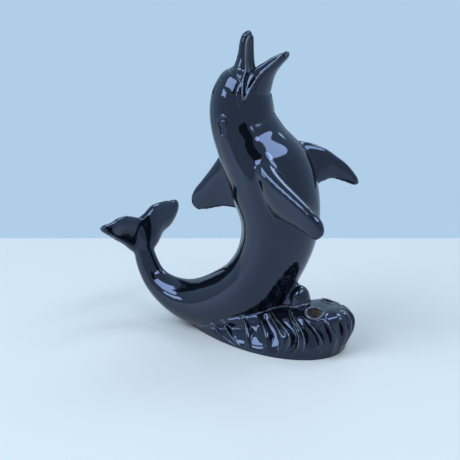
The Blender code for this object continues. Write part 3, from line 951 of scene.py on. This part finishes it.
def hole_rim(tree, centre):
    """A ring of points on the skin round a hole, once round and a little more."""
    line = []
    for turn in np.linspace(0.0, HOLE_BEAD_TURN, HOLE_RIM_STEPS):
        x = centre[0] + math.cos(turn) * HOLE_DIAMETER / 2
        y = centre[1] + math.sin(turn) * HOLE_DIAMETER / 2
        line.append(tree.ray_cast(Vector((x, y, ABOVE_WAVE)), Vector((0.0, 0.0, -1.0)))[0])
    return np.array(line)


def holes(mesh):
    """The cylinders of the two blind holes."""
    bottom = wave_crest(HEAD_CENTRE) - HOLE_DEPTH
    turns = np.linspace(0.0, 2 * math.pi, HOLE_SIDES, endpoint=False)
    circle = np.stack([np.cos(turns), np.sin(turns), 0 * turns], axis=1) * HOLE_DIAMETER / 2
    for x, y in hole_centres():
        loft(mesh, [circle + (x, y, z) for z in np.linspace(bottom, ABOVE_WAVE, HOLE_SIDES)])


def ground(mesh):
    """The slab under the flat underside."""
    slab = bmesh.ops.create_cube(mesh, size=1.0)["verts"]
    bmesh.ops.scale(mesh, vec=(GROUND_WIDTH, GROUND_WIDTH, WAVE_HEIGHT), verts=slab)
    bmesh.ops.translate(mesh, vec=(0.0, 0.0, -WAVE_HEIGHT / 2), verts=slab)


def plain_material(name, colour, roughness):
    """A material of one colour and roughness."""
    material = bpy.data.materials.new(name)
    material.use_nodes = True
    shader = material.node_tree.nodes["Principled BSDF"]
    shader.inputs["Base Color"].default_value = (*colour, 1.0)
    shader.inputs["Roughness"].default_value = roughness
    return material


def noise(nodes, links, where, scale, detail, stretch=(1.0, 1.0, 1.0)):
    """Noise over the piece's own coordinates, its scale per metre, stretched along its axes."""
    mapping = nodes.new("ShaderNodeMapping")
    mapping.inputs["Scale"].default_value = stretch
    links.new(where.outputs["Object"], mapping.inputs["Vector"])
    texture = nodes.new("ShaderNodeTexNoise")
    texture.inputs["Scale"].default_value = scale
    texture.inputs["Detail"].default_value = detail
    links.new(mapping.outputs["Vector"], texture.inputs["Vector"])
    return texture.outputs["Fac"]


def add_bump(nodes, links, height, distance, under=None):
    """A bump of the given height in metres, on top of another one if there is one under it."""
    bump = nodes.new("ShaderNodeBump")
    bump.inputs["Distance"].default_value = distance
    links.new(height, bump.inputs["Height"])
    if under:
        links.new(under, bump.inputs["Normal"])
    return bump.outputs["Normal"]


def value_range(nodes, links, value, source, target):
    """Spread a value from one range to another."""
    spread = nodes.new("ShaderNodeMapRange")
    for name, number in zip(("From Min", "From Max", "To Min", "To Max"), source + target):
        spread.inputs[name].default_value = number
    links.new(value, spread.inputs["Value"])
    return spread.outputs["Result"]


def colour_mix(nodes, links, share, first, second):
    """Mix two colours by a share; the first may be another mix's output."""
    mix = nodes.new("ShaderNodeMix")
    mix.data_type = "RGBA"
    links.new(share, mix.inputs["Factor"])
    if isinstance(first, tuple):
        mix.inputs["A"].default_value = (*first, 1.0)
    else:
        links.new(first, mix.inputs["A"])
    mix.inputs["B"].default_value = (*second, 1.0)
    return mix.outputs["Result"]


def black_glaze():
    """Glossy blue-black glaze: soft waves and runs, thin and paler on sharp edges, a few specks."""
    material = plain_material("deep_glaze", GLAZE_COLOUR, GLAZE_ROUGHNESS[0])
    nodes, links = material.node_tree.nodes, material.node_tree.links
    shader = nodes["Principled BSDF"]
    shader.inputs["IOR"].default_value = GLAZE_IOR
    shader.inputs["Specular IOR Level"].default_value = GLAZE_SPECULAR
    shader.inputs["Specular Tint"].default_value = GLAZE_TINT
    where = nodes.new("ShaderNodeTexCoord")
    clouds = noise(nodes, links, where, 45.0, 2.0)
    grain = noise(nodes, links, where, 900.0, 3.0)
    runs = noise(nodes, links, where, 260.0, 1.0, (1.0, 1.0, 0.06))
    waves = noise(nodes, links, where, 130.0, 1.0)
    edge = nodes.new("ShaderNodeAttribute")
    edge.attribute_name = EDGE_ATTRIBUTE
    broken = nodes.new("ShaderNodeMath")
    broken.operation = "MULTIPLY"
    links.new(edge.outputs["Fac"], broken.inputs[0])
    links.new(value_range(nodes, links, grain, (0.3, 0.6), (0.45, 1.0)), broken.inputs[1])
    deep = colour_mix(nodes, links, clouds, GLAZE_COLOUR, GLAZE_CLOUD)
    specks = nodes.new("ShaderNodeTexVoronoi")
    specks.inputs["Scale"].default_value = 230.0
    links.new(where.outputs["Object"], specks.inputs["Vector"])
    speck = value_range(nodes, links, specks.outputs["Distance"], (0.05, 0.03), (0.0, 0.6))
    speckled = colour_mix(nodes, links, speck, deep, GLAZE_SPECK)
    colour = colour_mix(nodes, links, broken.outputs["Value"], speckled, THIN_GLAZE)
    links.new(colour, shader.inputs["Base Color"])
    gloss = value_range(nodes, links, grain, (0.3, 0.7), GLAZE_ROUGHNESS)
    links.new(gloss, shader.inputs["Roughness"])
    soft = add_bump(nodes, links, waves, WAVES_BUMP)
    links.new(add_bump(nodes, links, runs, RUNS_BUMP, soft), shader.inputs["Normal"])
    return material


def bare_clay():
    """Unglazed brown clay in the holes and under the foot, grainy and mottled; its colours are
    darkened as painted shade for the inside of the holes.
    """
    material = plain_material("bare_clay", CLAY_DARK, CLAY_ROUGHNESS[1])
    nodes, links = material.node_tree.nodes, material.node_tree.links
    shader = nodes["Principled BSDF"]
    where = nodes.new("ShaderNodeTexCoord")
    blotches = noise(nodes, links, where, 350.0, 4.0)
    grain = noise(nodes, links, where, 2600.0, 2.0)
    share = value_range(nodes, links, blotches, (0.35, 0.65), (0.0, 1.0))
    links.new(colour_mix(nodes, links, share, CLAY_DARK, CLAY_LIGHT), shader.inputs["Base Color"])
    matt = value_range(nodes, links, grain, (0.3, 0.7), CLAY_ROUGHNESS)
    links.new(matt, shader.inputs["Roughness"])
    rough = add_bump(nodes, links, blotches, BLOTCHES_BUMP)
    links.new(add_bump(nodes, links, grain, GRAIN_BUMP, rough), shader.inputs["Normal"])
    return material


def mark_edges(item):
    """Write how sharply each place bulges, where the glaze runs thin."""
    mesh = item.data
    points = read_vectors(item, "co")
    normals = read_vectors(item, "normal")
    ends = np.empty(len(mesh.edges) * 2, int)
    mesh.edges.foreach_get("vertices", ends)
    first, second = ends.reshape(-1, 2).T
    apart = points[second] - points[first]
    span = (apart ** 2).sum(1).clip(1e-10)
    bend = ((normals[second] - normals[first]) * apart).sum(1) / span
    count = np.bincount(ends, minlength=len(points)).clip(1)
    bulge = (np.bincount(first, bend, len(points)) + np.bincount(second, bend, len(points))) / count
    for _ in range(EDGE_SMOOTHING):
        around = np.bincount(first, bulge[second], len(points))
        around += np.bincount(second, bulge[first], len(points))
        bulge = (bulge + around / count) / 2
    share = np.clip((bulge - THIN_FROM) / (THIN_FULL - THIN_FROM), 0.0, 1.0)
    mesh.attributes.new(EDGE_ATTRIBUTE, "FLOAT", "POINT").data.foreach_set("value", share)


def throat_web(mesh):
    """The skin that closes the throat between the beak's halves."""
    spine_loft(mesh, THROAT_WEB, 2, 3, 4, 0, count=60, share=0.15, square=THROAT_WEB_SQUARENESS)


def jaw_pad(mesh):
    """The flat-topped filling of the lower jaw."""
    spine_loft(mesh, JAW_PAD, 2, 3, 4, 0, count=60, share=0.12, square=JAW_PAD_SQUARENESS)


def build_figurine():
    """The whole figurine as one piece: fused, cut, carved, and beaded with glaze."""
    figure = new_mesh_object("glazed_dolphin", dolphin_forms)
    remesh(figure)
    soften(figure)
    refine_head(figure)
    rim, beak_tip = mouth_rim(skin_tree(figure))
    combine(figure, new_mesh_object("mouth", mouth_cutter), "DIFFERENCE")
    combine(figure, new_mesh_object("web", throat_web), "UNION")
    combine(figure, new_mesh_object("pad", jaw_pad), "UNION")
    soften_creases(figure, FINE_HEAD_FROM * FIGURE_HEIGHT / 100, FIGURE_HEIGHT * 2, RIM_SMOOTHING)
    soften_along(figure, rim, RIM_REACH, RIM_LINE_SMOOTHING)
    carve_head(figure, rim)
    tree = skin_tree(figure)
    swell = new_mesh_object("wave", lambda mesh: wave(mesh, tree))
    crest = crest_line(tree)
    rims = [(rim[:beak_tip], RIM_BEAD_RADIUS), (rim[beak_tip:], RIM_BEAD_RADIUS)]
    rims += [(hole_rim(skin_tree(swell), centre), HOLE_BEAD_RADIUS) for centre in hole_centres()]
    combine(swell, new_mesh_object("holes", holes, 1), "DIFFERENCE")
    combine(figure, swell, "UNION")
    combine(figure, new_mesh_object("ground", ground, 1), "DIFFERENCE")
    soften_creases(figure, BAND_HEIGHT, SPLASH_HEIGHT, CREASE_SMOOTHING)
    for side in (1, -1):
        soften_along(figure, crest * (1, side, 1), CREST_REACH, CREST_SMOOTHING)
    beads = bmesh.new()
    beads.from_mesh(figure.data)
    for line, radius in rims:
        tube(beads, line, radius)
    for side in (1, -1):
        tube(beads, crest * (1, side, 1), CREST_BEAD_RADIUS)
    beads.to_mesh(figure.data)
    beads.free()
    mark_edges(figure)
    figure.data.shade_smooth()
    figure.data.set_sharp_from_angle(angle=SHARP_ANGLE)
    return figure


def towards(azimuth, elevation):
    """Direction from the figurine, with azimuth 0 towards the camera and 90 to its right."""
    turn = math.radians(azimuth)
    rise = math.radians(elevation)
    ahead = Vector((math.sin(CAMERA_TURN), -math.cos(CAMERA_TURN), 0.0))
    aside = Vector((math.cos(CAMERA_TURN), math.sin(CAMERA_TURN), 0.0))
    level = ahead * math.cos(turn) + aside * math.sin(turn)
    return level * math.cos(rise) + Vector((0.0, 0.0, math.sin(rise)))


def face_figurine(item, azimuth, elevation, distance):
    """Put a light or card in a direction from the figurine's middle, facing it."""
    way = towards(azimuth, elevation)
    item.location = Vector((0.0, 0.0, FIGURE_HEIGHT / 2)) + way * distance
    item.rotation_euler = way.to_track_quat("Z", "Y").to_euler()


def window(name, azimuth, elevation, width, height, shape):
    """A soft studio light, as a glowing shape of even radiance."""
    data = bpy.data.lights.new(name, "AREA")
    data.shape = shape
    data.size = width
    data.size_y = height
    brightest = max(WINDOW_LIGHT)
    data.color = [part / brightest for part in WINDOW_LIGHT]
    area = width * height * (math.pi / 4 if shape == "ELLIPSE" else 1.0)
    data.energy = brightest * math.pi * area
    item = bpy.data.objects.new(name, data)
    face_figurine(item, azimuth, elevation, WINDOW_DISTANCE)
    item.visible_camera = False
    bpy.context.scene.collection.objects.link(item)


def dark_card(name, azimuth, elevation, width, height):
    """A black card with round corners that the glaze mirrors and the camera doesn't see."""
    mesh = bpy.data.meshes.new(name)
    rim = []
    for k in range(CARD_SIDES):
        turn = 2 * math.pi * k / CARD_SIDES
        across = signed_power(math.cos(turn), CARD_SQUARENESS) * width / 2
        up = signed_power(math.sin(turn), CARD_SQUARENESS) * height / 2
        rim.append((across, up, 0))
    mesh.from_pydata(rim, [], [range(CARD_SIDES)])
    mesh.materials.append(plain_material(name, CARD_COLOUR, 0.9))
    item = bpy.data.objects.new(name, mesh)
    face_figurine(item, azimuth, elevation, CARD_DISTANCE)
    item.visible_camera = False
    item.visible_shadow = False
    item.visible_diffuse = False
    bpy.context.scene.collection.objects.link(item)


def pale_room():
    """Even light all round, greyer on the camera's side than behind the figurine."""
    world = bpy.data.worlds.new("pale_room")
    world.use_nodes = True
    nodes, links = world.node_tree.nodes, world.node_tree.links
    where = nodes.new("ShaderNodeTexCoord")
    facing = nodes.new("ShaderNodeVectorMath")
    facing.operation = "DOT_PRODUCT"
    facing.inputs[1].default_value = towards(0.0, 0.0)
    links.new(where.outputs["Generated"], facing.inputs[0])
    share = value_range(nodes, links, facing.outputs["Value"], ROOM_BLEND, (0.0, 1.0))
    colour = colour_mix(nodes, links, share, ROOM_BEHIND, ROOM_IN_FRONT)
    links.new(colour, nodes["Background"].inputs["Color"])
    bpy.context.scene.world = world


def floor_and_light():
    """The plain pale floor, and the windows and dark cards that the glaze mirrors."""
    ahead = towards(0.0, 0.0)
    aside = towards(90.0, 0.0)
    foot = Vector((CAMERA_PLACE[0], CAMERA_PLACE[1], 0.0))
    near = foot + ahead * FLOOR_BEHIND_CAMERA
    far = foot - ahead * FLOOR_AHEAD_OF_CAMERA
    half = aside * FLOOR_HALF_WIDTH
    corners = [near - half, near + half, far + half, far - half]
    mesh = bpy.data.meshes.new("floor")
    mesh.from_pydata(corners, [], [(0, 1, 2, 3)])
    mesh.materials.append(plain_material("floor_white", FLOOR_COLOUR, 0.5))
    floor = bpy.data.objects.new("floor", mesh)
    bpy.context.scene.collection.objects.link(floor)
    for row in WINDOWS:
        window(*row)
    for row in DARK_CARDS:
        dark_card(*row)


def camera():
    """The camera of the photograph."""
    data = bpy.data.cameras.new("camera")
    data.sensor_width = CAMERA_SENSOR
    data.lens = CAMERA_LENS
    eye = bpy.data.objects.new("camera", data)
    eye.location = CAMERA_PLACE
    eye.rotation_euler = (CAMERA_TILT, 0.0, CAMERA_TURN)
    bpy.context.scene.collection.objects.link(eye)
    bpy.context.scene.camera = eye


MATERIALS = [black_glaze(), bare_clay()]
figurine = build_figurine()
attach(figurine, "root")
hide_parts("dolphin_figurine")
pale_room()
floor_and_light()
camera()
bpy.context.scene.view_settings.view_transform = "Standard"
